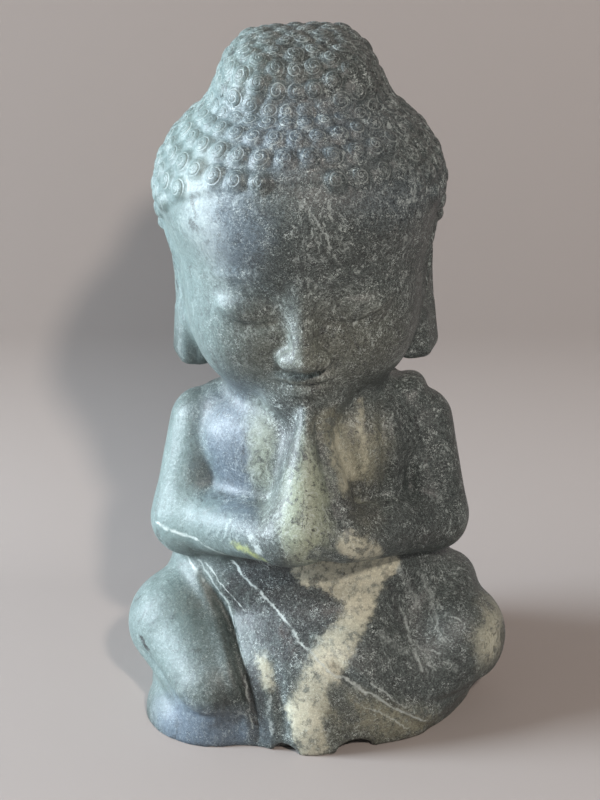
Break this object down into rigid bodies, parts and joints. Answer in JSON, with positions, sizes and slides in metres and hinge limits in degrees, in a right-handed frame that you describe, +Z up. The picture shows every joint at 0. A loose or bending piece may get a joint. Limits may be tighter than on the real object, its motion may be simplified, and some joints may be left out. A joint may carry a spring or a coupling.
{
  "type": "buddha carving",
  "caption": "Seated child Buddha with snail-curl hair, closed eyes and joined hands, carved from one block of mottled green serpentine",
  "frame": {"origin": "On the flat underside, at the height of the table, below the middle of the figure", "axes": "+Z up, the face looks along -Y, and the sitter's left hand is on the side of +X"},
  "size_m": [0.1142, 0.0897, 0.2005],
  "materials": {
    "stone": "waxed, low sheen"
  },
  "bodies": {
    "root": {"buddha_carving": "stone"}
  },
  "joints": []
}
